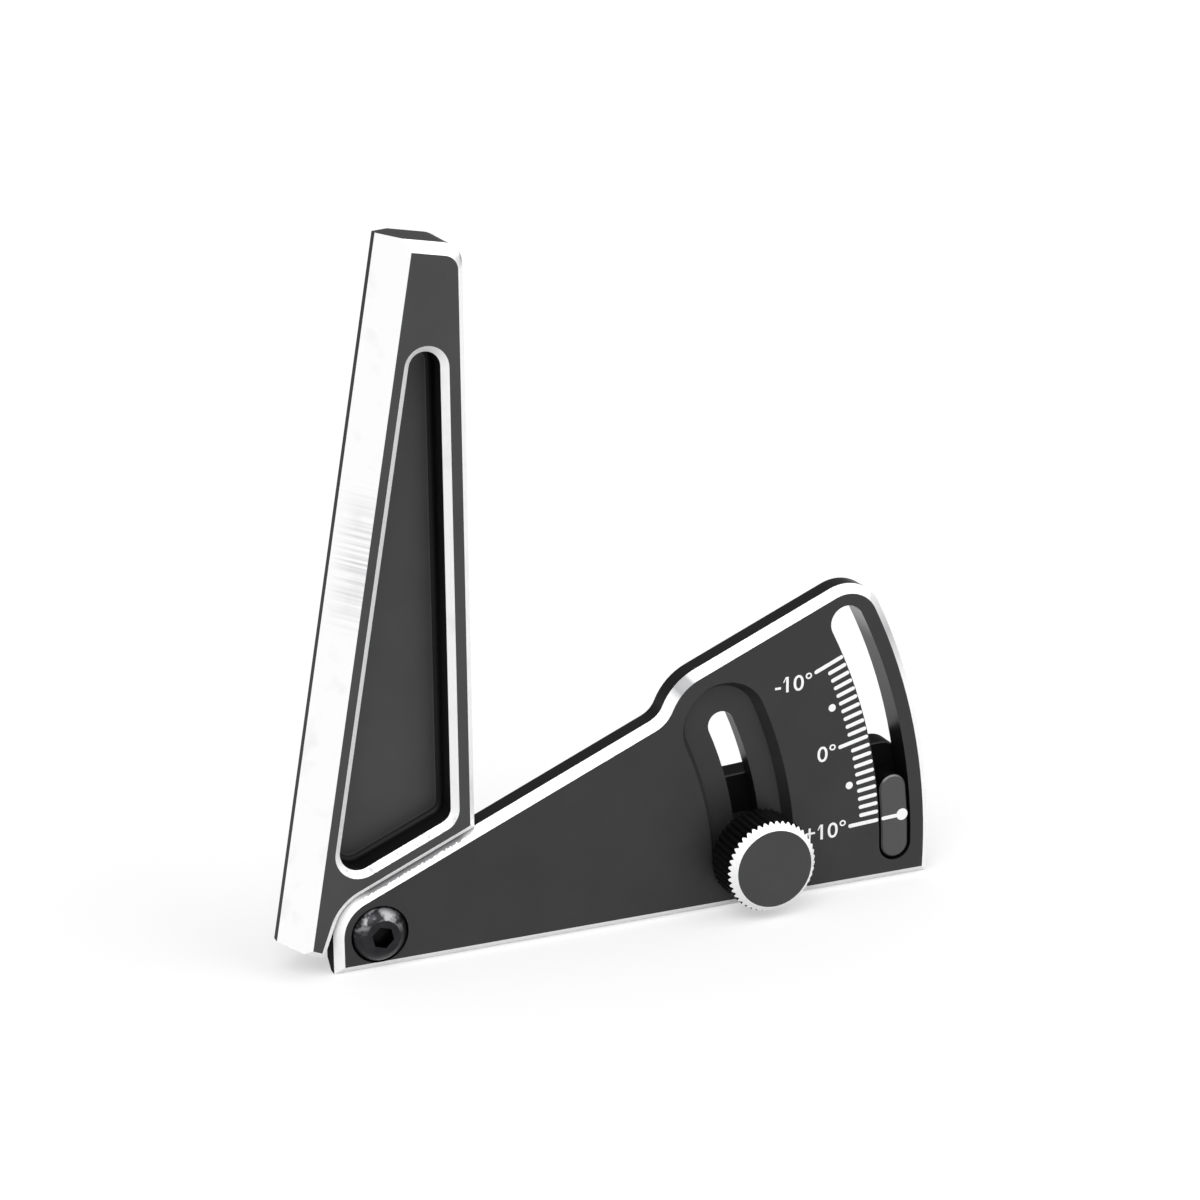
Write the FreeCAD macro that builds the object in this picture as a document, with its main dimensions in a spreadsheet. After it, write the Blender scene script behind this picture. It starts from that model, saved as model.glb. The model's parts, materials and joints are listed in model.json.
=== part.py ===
import FreeCAD, Part
import math
import os

import Sketcher
from FreeCAD import Placement, Rotation, Vector

# Camber caster gauge for the wheels of a small model car, in millimetres.
# X runs along the base to the right, Y goes from the front to the back, Z is up.
# The part's origin is on the flat of the plate's lower edge, straight below the pivot.
# Each body is drawn about the pivot axis, with y = 0 on the plate's front plane.

SIZES = [
    # scale plate
    ("pivot_height", 3.73, "pivot axis above the ground"),
    ("plate_depth", 3.0, "thickness of the scale plate"),
    ("plate_left", 4.48, "pivot axis to the plate's left side, and the round between it and the long edge"),
    ("slope_angle", 23.2, "rise of the plate's long upper edge, degrees"),
    ("slope_high", 6.93, "pivot axis to the upper stretch of that edge"),
    ("scale_radius", 59.92, "pivot axis to the plate's curved end"),
    ("corner_round", 4.2, "round of the plate's top right corner"),
    ("crest_reach", 39.44, "pivot axis to the middle of the step's crest"),
    ("crest_round", 6.38, "round of the step's crest"),
    ("step_round", 2.72, "round at the foot of the step"),
    ("plate_chamfer", 0.85, "bright chamfer round the plate's front"),
    ("base_bevel", 1.2, "bevel at the back of the lower edge"),
    ("back_chamfer", 0.15, "broken edge at the back"),
    # window for the pointer, and the knob's track; angles are from the base line
    ("zero_angle", 13.28, "direction of the 0 degree mark"),
    ("swing", 10.0, "travel each way from the 0 degree mark"),
    ("pointer_radius", 55.8, "middle of the pointer's window"),
    ("window_width", 3.6, "width of the pointer's window"),
    ("window_reach", 13.08, "0 mark to the middle of the window's end"),
    ("clamp_radius", 39.87, "pivot axis to the knob's axis"),
    ("clamp_angle", 12.72, "direction of the knob when the arm is upright"),
    ("track_width", 2.8, "width of the slot for the knob's stud"),
    ("track_angle", 12.6, "direction of the slot's middle"),
    ("track_reach", 10.4, "middle of the slot to the middle of its end"),
    ("sink_width", 9.1, "width of the sunk track at the front"),
    ("sink_angle", 13.08, "direction of the sunk track's middle"),
    ("sink_reach", 10.3, "middle of the sunk track to the middle of its end"),
    ("sink_depth", 1.2, "depth of the sunk track"),
    ("sink_lean", 30.0, "lean of the sunk track's wall, degrees"),
    # gauge arm
    ("arm_front", 0.2, "arm's face in front of the plate's face"),
    ("arm_depth", 6.4, "thickness of the upright"),
    ("arm_left", 9.43, "pivot axis to the contact edge"),
    ("arm_right", 10.1, "pivot axis to the right side"),
    ("arm_taper", 10.0, "lean of the right side, degrees"),
    ("arm_top", 67.44, "pivot axis to the top"),
    ("arm_slope", 4.62, "pivot axis to the arm's lower edge, and the inner round below it"),
    ("arm_corner", 2.1, "round of the top right corner"),
    ("arm_chamfer", 0.65, "bright chamfer round the arm's front"),
    ("arm_top_rise", 1.1, "height of the chamfer along the top"),
    ("arm_top_lean", 55.7, "lean of that chamfer, degrees"),
    ("edge_bevel", 2.76, "bevel on either side of the contact edge"),
    ("foot_lean", 10.4, "lean of the foot's inner side, degrees"),
    ("foot_heel", 1.73, "depth of the contact edge's lower end"),
    ("foot_tip", 2.68, "depth of the foot's tip"),
    ("arm_back_chamfer", 0.4, "broken edge at the arm's back"),
    # triangular pocket in the arm
    ("rim_width", 0.88, "flat rim between the pocket and the chamfers"),
    ("rim_right", 1.08, "the same on the right"),
    ("pocket_depth", 3.4, "depth of the pocket"),
    ("pocket_floor", 0.6, "round between the pocket's floor and its wall"),
    ("pocket_chamfer", 0.65, "bright chamfer round the pocket"),
    ("pocket_left", 1.9, "round of the pocket's lower left corner"),
    ("pocket_right", 1.5, "round of the pocket's lower right corner"),
    ("pocket_head", 1.57, "round of the pocket's upper end"),
    # leg, hub and pointer behind the plate
    ("leg_gap", 0.2, "gap between the plate and the leg"),
    ("leg_root", 1.0, "how far the leg runs on under the upright's lower edge"),
    ("hub_round", 3.4, "radius of the hub round the pivot"),
    ("leg_rise", 6.98, "middle of the leg to its upper edge"),
    ("leg_reach", 58.6, "pivot axis to the leg's end"),
    ("leg_corner", 2.4, "round of the leg's end"),
    ("leg_edge", 0.12, "broken edge along the leg's upper front"),
    ("pointer_width", 3.0, "width of the pointer in the window"),
    ("pointer_span", 3.08, "half angle between the pointer's rounds"),
    ("pointer_edge", 0.15, "broken edge of the pointer"),
    # pivot
    ("bore_radius", 2.06, "bore of the plate at the pivot"),
    ("sink_radius", 2.93, "counterbore of the pivot screw"),
    ("seat_depth", 0.75, "depth of that counterbore"),
    ("bush_radius", 2.0, "outer radius of the bush"),
    ("screw_radius", 1.5, "M3 thread"),
    ("screw_hole", 1.53, "tapped hole for the M3 thread"),
    ("head_radius", 2.85, "M3 button head"),
    ("head_height", 1.65, "height of the button head"),
    ("head_flat", 1.75, "flat of the button head round the socket"),
    ("head_lip", 0.45, "straight edge under the button head's dome"),
    ("head_dome", 2.2, "round of the button head's dome"),
    ("thread_end", 0.3, "end of a thread inside the leg's back"),
    ("thread_lead", 0.2, "chamfer at the end of a thread"),
    ("screw_socket", 1.155, "hexagon socket, middle to corner, 2 mm across flats"),
    ("socket_depth", 1.05, "depth of the hexagon socket"),
    ("socket_turn", 43.0, "direction of the hexagon's first corner"),
    ("shim_radius", 3.2, "outer radius of the thin washers"),
    ("shim_depth", 0.12, "thickness of the thin washers"),
    # clamp
    ("stud_radius", 1.25, "M2.5 thread"),
    ("stud_hole", 1.28, "tapped hole for the M2.5 thread"),
    ("loose_hole", 1.4, "washer hole over the M2.5 thread"),
    ("knob_radius", 4.78, "knob over the tips of its knurl"),
    ("knob_face", 4.03, "radius of the knob's front face"),
    ("knob_front", 4.9, "front of the knob before the plate"),
    ("knob_edge", 0.75, "depth of the knob's front chamfer"),
    ("knob_back", 0.35, "back of the knurl before the plate"),
    ("knob_neck", 3.2, "radius of the knob's neck"),
    ("knob_solid", 1.2, "metal between the knob's face and its blind hole"),
    ("knurl_depth", 0.25, "depth of the knurl"),
    ("knurl_count", 45, "grooves round the knob"),
    ("knurl_share", 0.95, "share of the knurl's pitch that a groove takes at the tips"),
    ("washer_radius", 3.7, "outer radius of the knob's washer"),
    ("washer_depth", 0.5, "thickness of the knob's washer"),
    ("sheet_gap", 0.05, "air between faces that slide"),
]

# a sketch's own origin and axes, as its constraints name them
PIVOT = (-1, 1)
ACROSS = -1
UPRIGHT = -2

# how near two places are to count as one, and how far a cutting outline runs on past the metal
NEAR = 0.001
PAST = 1


def make_sheet(doc):
    """The driving dimensions, one row each, with the alias in column A and the size in column B."""
    sheet = doc.addObject("Spreadsheet::Sheet", "dims")
    for row, (alias, size, note) in enumerate(SIZES, start=1):
        sheet.set(f"A{row}", alias)
        sheet.set(f"B{row}", str(size))
        sheet.set(f"C{row}", note)
        sheet.setAlias(f"B{row}", alias)
    doc.recompute()
    return sheet


def size(alias):
    """A driving dimension, read back from the sheet."""
    return float(FreeCAD.ActiveDocument.dims.get(alias))


def polar(radius, degrees):
    return Vector(radius * math.cos(math.radians(degrees)), radius * math.sin(math.radians(degrees)), 0)


def beside(angle, along, above):
    """The point that is so far along a line through the pivot, and so far above it."""
    return polar(along, angle) + polar(above, angle + 90)


def meet(angle_a, above_a, angle_b, above_b):
    """Where two lines meet, each given by its direction and its distance from the pivot."""
    normal_a = polar(1, angle_a + 90)
    normal_b = polar(1, angle_b + 90)
    spread = normal_a.x * normal_b.y - normal_a.y * normal_b.x
    x = (above_a * normal_b.y - above_b * normal_a.y) / spread
    y = (normal_a.x * above_b - normal_b.x * above_a) / spread
    return Vector(x, y, 0)


# ---------------------------------------------------------------- bodies and sketches

def new_body(doc, label):
    body = doc.addObject("PartDesign::Body", label)
    body.Label = label
    return body


def stand_on_plate(body):
    """Places a flat piece that doesn't turn: the pivot's height up, the lower edge's flat on y = 0."""
    body.Placement = Placement(Vector(0, 0, 0), Rotation())
    body.setExpression("Placement.Base.y", "-(dims.plate_chamfer + dims.plate_depth - dims.base_bevel) / 2")
    body.setExpression("Placement.Base.z", "dims.pivot_height")


def lean_with_arm(body):
    """Places a flat piece of the arm, leaned to the right by the whole swing."""
    stand_on_plate(body)
    lean = math.radians(size("swing") / 2)
    body.Placement.Rotation = Rotation(0, math.sin(lean), 0, math.cos(lean))
    body.setExpression("Placement.Rotation.Angle", "dims.swing")


def turn_to_front(body, radius_expression=None, angle_expression=None):
    """Places a round piece, drawn along its own Z, so that its Z looks out of the plate's front."""
    stand_on_plate(body)
    body.Placement.Rotation = Rotation(Vector(1, 0, 0), 90)
    if radius_expression:
        body.setExpression("Placement.Base.x", f"{radius_expression} * cos({angle_expression} * 1 deg)")
        body.setExpression(
            "Placement.Base.z", f"dims.pivot_height + {radius_expression} * sin({angle_expression} * 1 deg)"
        )


def new_sketch(body, name, role="XZ_Plane", depth="0"):
    """A sketch on an origin plane; depth is an expression, towards the back on the XZ plane."""
    sketch = body.newObject("Sketcher::SketchObject", name)
    plane = [feature for feature in body.Origin.OriginFeatures if feature.Role == role][0]
    sketch.AttachmentSupport = (plane, [""])
    sketch.MapMode = "FlatFace"
    if depth != "0":
        sign = "-" if role == "XZ_Plane" else ""
        sketch.setExpression("AttachmentOffset.Base.z", f"{sign}({depth}) * 1 mm")
    return sketch


def drive(sketch, name, expression, *constraint):
    """Adds a dimension to a sketch and binds it to the sheet."""
    index = sketch.addConstraint(Sketcher.Constraint(*constraint))
    sketch.renameConstraint(index, name)
    sketch.setExpression(f"Constraints.{name}", expression)


def line(start, end):
    return ("line", start, end)


def round_to(centre, start, end, ccw=True):
    return ("arc", start, end, centre, ccw)


def add_outline(sketch, pieces, smooth=()):
    """Draws a closed outline; smooth lists the pieces that run on tangent from the one before."""
    ends = []
    for piece in pieces:
        if piece[0] == "line":
            index = sketch.addGeometry(Part.LineSegment(piece[1], piece[2]))
            ends.append((index, 1, 2))
            continue
        start, end, centre, ccw = piece[1:]
        first, last = (start, end) if ccw else (end, start)
        angle_first = math.atan2(first.y - centre.y, first.x - centre.x)
        angle_last = math.atan2(last.y - centre.y, last.x - centre.x)
        if angle_last < angle_first:
            angle_last += 2 * math.pi
        circle = Part.Circle(centre, Vector(0, 0, 1), (start - centre).Length)
        index = sketch.addGeometry(Part.ArcOfCircle(circle, angle_first, angle_last))
        ends.append((index, 1, 2) if ccw else (index, 2, 1))
    for place, (index, near, _) in enumerate(ends):
        before, _, far = ends[place - 1]
        kind = "Tangent" if place in smooth else "Coincident"
        sketch.addConstraint(Sketcher.Constraint(kind, before, far, index, near))
    return [entry[0] for entry in ends]


def add_circle(sketch, radius, along=None, angle=None, start=None):
    """A circle at the pivot, or at a distance and angle from it; all are names or expressions."""
    index = sketch.addGeometry(Part.Circle(start or Vector(0, 0, 0), Vector(0, 0, 1), 1))
    drive(sketch, f"radius_{index}", radius, "Radius", index, 1)
    if along is None:
        sketch.addConstraint(Sketcher.Constraint("Coincident", index, 3, *PIVOT))
        return index
    ray = sketch.addGeometry(Part.LineSegment(Vector(0, 0, 0), start), True)
    sketch.addConstraint(Sketcher.Constraint("Coincident", ray, 1, *PIVOT))
    sketch.addConstraint(Sketcher.Constraint("Coincident", ray, 2, index, 3))
    drive(sketch, f"along_{index}", along, "Distance", ray, start.Length)
    drive(sketch, f"angle_{index}", f"({angle}) * 1 deg", "Angle", ray, math.atan2(start.y, start.x))
    return index


def add_arc_slot(sketch, radius, half_width, low, high):
    """A curved slot about the pivot; each argument is a pair: expression and size now."""
    inner = radius[1] - half_width[1]
    outer = radius[1] + half_width[1]
    low_end = polar(radius[1], low[1])
    high_end = polar(radius[1], high[1])
    zero = Vector(0, 0, 0)
    pieces = add_outline(
        sketch,
        [
            round_to(zero, polar(outer, low[1]), polar(outer, high[1])),
            round_to(high_end, polar(outer, high[1]), polar(inner, high[1])),
            round_to(zero, polar(inner, high[1]), polar(inner, low[1]), ccw=False),
            round_to(low_end, polar(inner, low[1]), polar(outer, low[1])),
        ],
        smooth=(0, 1, 2, 3),
    )
    sketch.addConstraint(Sketcher.Constraint("Coincident", pieces[0], 3, *PIVOT))
    sketch.addConstraint(Sketcher.Constraint("Coincident", pieces[2], 3, *PIVOT))
    low_ray = sketch.addGeometry(Part.LineSegment(zero, low_end), True)
    high_ray = sketch.addGeometry(Part.LineSegment(zero, high_end), True)
    for ray, cap in ((low_ray, pieces[3]), (high_ray, pieces[1])):
        sketch.addConstraint(Sketcher.Constraint("Coincident", ray, 1, *PIVOT))
        sketch.addConstraint(Sketcher.Constraint("Coincident", ray, 2, cap, 3))
    drive(sketch, "middle", radius[0], "Distance", low_ray, radius[1])
    drive(sketch, "half_width", half_width[0], "Radius", pieces[3], half_width[1])
    drive(sketch, "low_end", f"({low[0]}) * 1 deg", "Angle", low_ray, math.radians(low[1]))
    drive(sketch, "high_end", f"({high[0]}) * 1 deg", "Angle", high_ray, math.radians(high[1]))


def add_profile(sketch, corners):
    """A closed profile of straight sides; each corner is a pair of expressions, "0" for on the axis."""
    count = len(corners)
    points = [polar(1, 360 * place / count) for place in range(count)]
    sides = [line(points[place], points[(place + 1) % count]) for place in range(count)]
    indices = add_outline(sketch, sides)
    for place, (across, upward) in enumerate(corners):
        index = indices[place]
        if across == "0":
            sketch.addConstraint(Sketcher.Constraint("PointOnObject", index, 1, UPRIGHT))
        else:
            drive(sketch, f"across_{place}", across, "DistanceX", *PIVOT, index, 1, points[place].x)
        if upward == "0":
            sketch.addConstraint(Sketcher.Constraint("PointOnObject", index, 1, ACROSS))
        else:
            drive(sketch, f"upward_{place}", upward, "DistanceY", *PIVOT, index, 1, points[place].y)


# ---------------------------------------------------------------- features

def pad(body, sketch, length, to_back=True):
    feature = body.newObject("PartDesign::Pad", sketch.Name + "_pad")
    feature.Profile = sketch
    feature.Reversed = to_back
    feature.setExpression("Length", f"({length}) * 1 mm")
    sketch.Visibility = False
    FreeCAD.ActiveDocument.recompute()
    return feature


def cut(body, sketch, length=None, taper=None, both_ways=False):
    """A pocket from the sketch towards the back, or right through when it has no length."""
    before = body.Shape.Volume
    feature = body.newObject("PartDesign::Pocket", sketch.Name + "_cut")
    feature.Profile = sketch
    if length is None:
        feature.Type = 1
        feature.Midplane = both_ways
    else:
        feature.setExpression("Length", f"({length}) * 1 mm")
    if taper:
        feature.setExpression("TaperAngle", f"({taper}) * 1 deg")
    FreeCAD.ActiveDocument.recompute()
    if not body.Shape.Volume < before:
        raise RuntimeError(f"{feature.Name} cuts nothing")
    return feature


def revolve(body, sketch):
    feature = body.newObject("PartDesign::Revolution", sketch.Name + "_turn")
    feature.Profile = sketch
    feature.ReferenceAxis = (sketch, ["V_Axis"])
    feature.Angle = 360
    FreeCAD.ActiveDocument.recompute()
    return feature


def chamfer(body, base, edges, distance):
    feature = body.newObject("PartDesign::Chamfer", base.Name + "_chamfer")
    feature.Base = (base, edges)
    feature.setExpression("Size", f"({distance}) * 1 mm")
    FreeCAD.ActiveDocument.recompute()
    return feature


def fillet(body, base, edges, radius):
    feature = body.newObject("PartDesign::Fillet", base.Name + "_fillet")
    feature.Base = (base, edges)
    feature.setExpression("Radius", f"({radius}) * 1 mm")
    FreeCAD.ActiveDocument.recompute()
    return feature


def edges_at_depth(feature, depth, keep=lambda middle: True):
    """Names of a feature's edges that lie in the plane at that depth, where keep says yes to the middle."""
    names = []
    for number, edge in enumerate(feature.Shape.Edges, start=1):
        box = edge.BoundBox
        flat = abs(box.YMin - depth) < NEAR and abs(box.YMax - depth) < NEAR
        first, last = edge.ParameterRange
        if flat and keep(edge.valueAt((first + last) / 2)):
            names.append(f"Edge{number}")
    return names


# ---------------------------------------------------------------- scale plate

def plate_outline(sketch):
    slope = size("slope_angle")
    left = size("plate_left")
    high = size("slope_high")
    rim = size("scale_radius")
    height = size("pivot_height")
    corner = size("corner_round")
    crest = size("crest_round")
    step = size("step_round")

    base_left = Vector(-left, -height, 0)
    base_right = Vector(math.sqrt(rim**2 - height**2), -height, 0)
    corner_along = math.sqrt((rim - corner) ** 2 - (high - corner) ** 2)
    corner_middle = beside(slope, corner_along, high - corner)
    crest_middle = beside(slope, size("crest_reach"), high - crest)
    step_along = size("crest_reach") - math.sqrt((crest + step) ** 2 - (left + step - high + crest) ** 2)
    step_middle = beside(slope, step_along, left + step)
    rim_end = corner_middle * (rim / corner_middle.Length)
    crest_end = crest_middle + (step_middle - crest_middle) * (crest / (crest + step))
    hinge_top = polar(left, slope + 90)
    hinge_side = Vector(-left, 0, 0)

    base, arc, corner_arc, upper, crest_arc, step_arc, lower, hinge_arc, side = add_outline(
        sketch,
        [
            line(base_left, base_right),
            round_to(Vector(0, 0, 0), base_right, rim_end),
            round_to(corner_middle, rim_end, beside(slope, corner_along, high)),
            line(beside(slope, corner_along, high), beside(slope, size("crest_reach"), high)),
            round_to(crest_middle, beside(slope, size("crest_reach"), high), crest_end),
            round_to(step_middle, crest_end, beside(slope, step_along, left), ccw=False),
            line(beside(slope, step_along, left), hinge_top),
            round_to(Vector(0, 0, 0), hinge_top, hinge_side),
            line(hinge_side, base_left),
        ],
        smooth=(2, 3, 4, 5, 6, 7, 8),
    )
    sketch.addConstraint(Sketcher.Constraint("Horizontal", base))
    sketch.addConstraint(Sketcher.Constraint("Vertical", side))
    sketch.addConstraint(Sketcher.Constraint("Parallel", upper, lower))
    sketch.addConstraint(Sketcher.Constraint("Coincident", arc, 3, *PIVOT))
    sketch.addConstraint(Sketcher.Constraint("Coincident", hinge_arc, 3, *PIVOT))
    drive(sketch, "height", "dims.pivot_height", "Distance", *PIVOT, base, height)
    drive(sketch, "left", "dims.plate_left", "Distance", *PIVOT, side, left)
    drive(sketch, "rim", "dims.scale_radius", "Radius", arc, rim)
    drive(sketch, "corner", "dims.corner_round", "Radius", corner_arc, corner)
    drive(sketch, "crest", "dims.crest_round", "Radius", crest_arc, crest)
    drive(sketch, "step", "dims.step_round", "Radius", step_arc, step)
    drive(sketch, "high", "dims.slope_high", "Distance", *PIVOT, upper, high)
    drive(sketch, "slope", "(dims.slope_angle + 180) * 1 deg", "Angle", lower, math.radians(slope + 180))
    drive(sketch, "reach", "dims.crest_reach", "Distance", *PIVOT, crest_arc, 3, crest_middle.Length)


def arc_window(body, name, radius, width, middle, reach, depth="0"):
    """A sketch of a curved slot whose ends are the same reach each way from its middle."""
    sketch = new_sketch(body, name, depth=depth)
    low = size(middle) - size(reach)
    high = size(middle) + size(reach)
    add_arc_slot(
        sketch,
        (f"dims.{radius}", size(radius)),
        (f"dims.{width} / 2", size(width) / 2),
        (f"dims.{middle} - dims.{reach}", low),
        (f"dims.{middle} + dims.{reach}", high),
    )
    return sketch


def make_scale_plate(doc):
    """The flat plate: outline, bright chamfer, pointer window, sunk track, slot and pivot bore."""
    body = new_body(doc, "scale_plate")
    outline = new_sketch(body, "plate_outline")
    plate_outline(outline)
    blank = pad(body, outline, "dims.plate_depth")
    base = -size("pivot_height")
    front = chamfer(body, blank, edges_at_depth(blank, 0), "dims.plate_chamfer")
    rear = size("plate_depth")
    low = chamfer(body, front, edges_at_depth(front, rear, lambda p: p.z < base + NEAR), "dims.base_bevel")
    bevel_top = base + size("base_bevel") + NEAR
    chamfer(body, low, edges_at_depth(low, rear, lambda p: p.z > bevel_top), "dims.back_chamfer")

    window = arc_window(
        body, "pointer_window", "pointer_radius", "window_width", "zero_angle", "window_reach"
    )
    cut(body, window)
    sink = arc_window(body, "sunk_track", "clamp_radius", "sink_width", "sink_angle", "sink_reach")
    cut(body, sink, "dims.sink_depth", "-dims.sink_lean")
    track = arc_window(body, "stud_slot", "clamp_radius", "track_width", "track_angle", "track_reach")
    cut(body, track)

    seat = new_sketch(body, "screw_seat")
    add_circle(seat, "dims.sink_radius")
    cut(body, seat, "dims.seat_depth")
    bore = new_sketch(body, "pivot_bore")
    add_circle(bore, "dims.bore_radius")
    cut(body, bore)
    stand_on_plate(body)
    return body


# ---------------------------------------------------------------- gauge arm

def arm_outline(sketch):
    """The upright's outline with the arm at 0 degrees, its contact edge upright."""
    slope = size("slope_angle") + size("swing")
    right_angle = 90 + size("arm_taper")
    foot_angle = 90 - size("foot_lean")
    left = size("arm_left")
    top = size("arm_top")
    inner = size("arm_slope")
    corner = size("arm_corner")

    heel = Vector(-left, -size("foot_heel"), 0)
    tip = meet(foot_angle, inner, 0, -size("foot_tip"))
    inner_foot = polar(inner, foot_angle + 90)
    inner_slope = polar(inner, slope + 90)
    lower_right = meet(slope, inner, right_angle, -size("arm_right"))
    corner_middle = meet(right_angle, corner - size("arm_right"), 0, top - corner)
    corner_side = corner_middle + polar(corner, right_angle - 90)
    corner_top = corner_middle + Vector(0, corner, 0)

    sole, foot, inner_arc, lower, side, corner_arc, crown, contact = add_outline(
        sketch,
        [
            line(heel, tip),
            line(tip, inner_foot),
            round_to(Vector(0, 0, 0), inner_foot, inner_slope, ccw=False),
            line(inner_slope, lower_right),
            line(lower_right, corner_side),
            round_to(corner_middle, corner_side, corner_top),
            line(corner_top, Vector(-left, top, 0)),
            line(Vector(-left, top, 0), heel),
        ],
        smooth=(2, 3, 5, 6),
    )
    sketch.addConstraint(Sketcher.Constraint("Horizontal", crown))
    sketch.addConstraint(Sketcher.Constraint("Vertical", contact))
    drive(sketch, "left", "dims.arm_left", "Distance", *PIVOT, contact, left)
    drive(sketch, "right", "dims.arm_right", "Distance", *PIVOT, side, size("arm_right"))
    drive(sketch, "top", "dims.arm_top", "Distance", *PIVOT, crown, top)
    sketch.addConstraint(Sketcher.Constraint("Coincident", inner_arc, 3, *PIVOT))
    drive(sketch, "inner", "dims.arm_slope", "Radius", inner_arc, inner)
    drive(sketch, "corner", "dims.arm_corner", "Radius", corner_arc, corner)
    drive(sketch, "heel", "-dims.foot_heel", "DistanceY", *PIVOT, sole, 1, heel.y)
    drive(sketch, "tip", "-dims.foot_tip", "DistanceY", *PIVOT, sole, 2, tip.y)
    drive(sketch, "slope", "(dims.slope_angle + dims.swing) * 1 deg", "Angle", lower, math.radians(slope))
    drive(sketch, "taper", "(90 + dims.arm_taper) * 1 deg", "Angle", side, math.radians(right_angle))
    drive(sketch, "lean", "(90 - dims.foot_lean) * 1 deg", "Angle", foot, math.radians(foot_angle))


def pocket_outline(sketch):
    """The rounded triangle inside the rim, parallel to the arm's three long edges."""
    slope = size("slope_angle") + size("swing")
    right_angle = 90 + size("arm_taper")
    edge = size("arm_chamfer") + size("pocket_chamfer")
    left = size("arm_left") - size("edge_bevel") - size("rim_width") - size("pocket_chamfer")
    right = size("arm_right") - size("rim_right") - edge
    low = size("arm_slope") + size("rim_width") + edge
    left_round = size("pocket_left")
    right_round = size("pocket_right")
    head = size("pocket_head")

    left_middle = meet(slope, low + left_round, 90, left - left_round)
    right_middle = meet(slope, low + right_round, right_angle, right_round - right)
    head_middle = meet(90, left - head, right_angle, head - right)
    left_side = left_middle - Vector(left_round, 0, 0)
    left_low = left_middle + polar(left_round, slope - 90)
    right_low = right_middle + polar(right_round, slope - 90)
    right_side = right_middle + polar(right_round, right_angle - 90)
    head_right = head_middle + polar(head, right_angle - 90)
    head_left = head_middle - Vector(head, 0, 0)

    low_line, right_arc, side, head_arc, left_line, left_arc = add_outline(
        sketch,
        [
            line(left_low, right_low),
            round_to(right_middle, right_low, right_side),
            line(right_side, head_right),
            round_to(head_middle, head_right, head_left),
            line(head_left, left_side),
            round_to(left_middle, left_side, left_low),
        ],
        smooth=(0, 1, 2, 3, 4, 5),
    )
    left_terms = "dims.arm_left - dims.edge_bevel - dims.rim_width - dims.pocket_chamfer"
    right_terms = "dims.arm_right - dims.arm_chamfer - dims.rim_right - dims.pocket_chamfer"
    low_terms = "dims.arm_slope + dims.arm_chamfer + dims.rim_width + dims.pocket_chamfer"
    sketch.addConstraint(Sketcher.Constraint("Vertical", left_line))
    drive(sketch, "left", left_terms, "Distance", *PIVOT, left_line, left)
    drive(sketch, "right", right_terms, "Distance", *PIVOT, side, right)
    drive(sketch, "low", low_terms, "Distance", *PIVOT, low_line, low)
    drive(sketch, "left_round", "dims.pocket_left", "Radius", left_arc, left_round)
    drive(sketch, "right_round", "dims.pocket_right", "Radius", right_arc, right_round)
    drive(sketch, "head", "dims.pocket_head", "Radius", head_arc, head)
    slope_terms = "(dims.slope_angle + dims.swing) * 1 deg"
    drive(sketch, "slope", slope_terms, "Angle", low_line, math.radians(slope))
    drive(sketch, "taper", "(90 + dims.arm_taper) * 1 deg", "Angle", side, math.radians(right_angle))


def leg_outline(sketch):
    """The leg behind the plate, from the hub to the curved end that carries the pointer."""
    middle = size("zero_angle")
    lean = size("swing")
    hub = size("hub_round")
    rise = size("leg_rise")
    reach = size("leg_reach")
    corner = size("leg_corner")

    hub_low = polar(hub, lean - 90)
    hub_left = Vector(-hub, 0, 0)
    end_low = beside(lean, math.sqrt(reach**2 - hub**2), -hub)
    corner_along = math.sqrt((reach - corner) ** 2 - (rise - corner) ** 2)
    corner_middle = beside(middle, corner_along, rise - corner)
    corner_end = corner_middle * (reach / corner_middle.Length)
    corner_top = beside(middle, corner_along, rise)
    root = size("arm_slope") + size("leg_root")

    low_line, end_arc, corner_arc, top_line, root_line, web_line, hub_arc = add_outline(
        sketch,
        [
            line(hub_low, end_low),
            round_to(Vector(0, 0, 0), end_low, corner_end),
            round_to(corner_middle, corner_end, corner_top),
            line(corner_top, meet(middle, rise, 90, root)),
            line(meet(middle, rise, 90, root), Vector(-root, 0, 0)),
            line(Vector(-root, 0, 0), hub_left),
            round_to(Vector(0, 0, 0), hub_left, hub_low),
        ],
        smooth=(0, 2, 3),
    )
    sketch.addConstraint(Sketcher.Constraint("Vertical", root_line))
    sketch.addConstraint(Sketcher.Constraint("PointOnObject", web_line, 1, ACROSS))
    sketch.addConstraint(Sketcher.Constraint("PointOnObject", web_line, 2, ACROSS))
    sketch.addConstraint(Sketcher.Constraint("Coincident", end_arc, 3, *PIVOT))
    sketch.addConstraint(Sketcher.Constraint("Coincident", hub_arc, 3, *PIVOT))
    drive(sketch, "hub", "dims.hub_round", "Radius", hub_arc, hub)
    drive(sketch, "reach", "dims.leg_reach", "Radius", end_arc, reach)
    drive(sketch, "corner", "dims.leg_corner", "Radius", corner_arc, corner)
    drive(sketch, "rise", "dims.leg_rise", "Distance", *PIVOT, top_line, rise)
    drive(sketch, "root", "dims.arm_slope + dims.leg_root", "Distance", *PIVOT, root_line, root)
    drive(sketch, "lean", "dims.swing * 1 deg", "Angle", low_line, math.radians(lean))
    drive(
        sketch, "middle", "(dims.zero_angle + 180) * 1 deg", "Angle", top_line, math.radians(middle + 180)
    )


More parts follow.
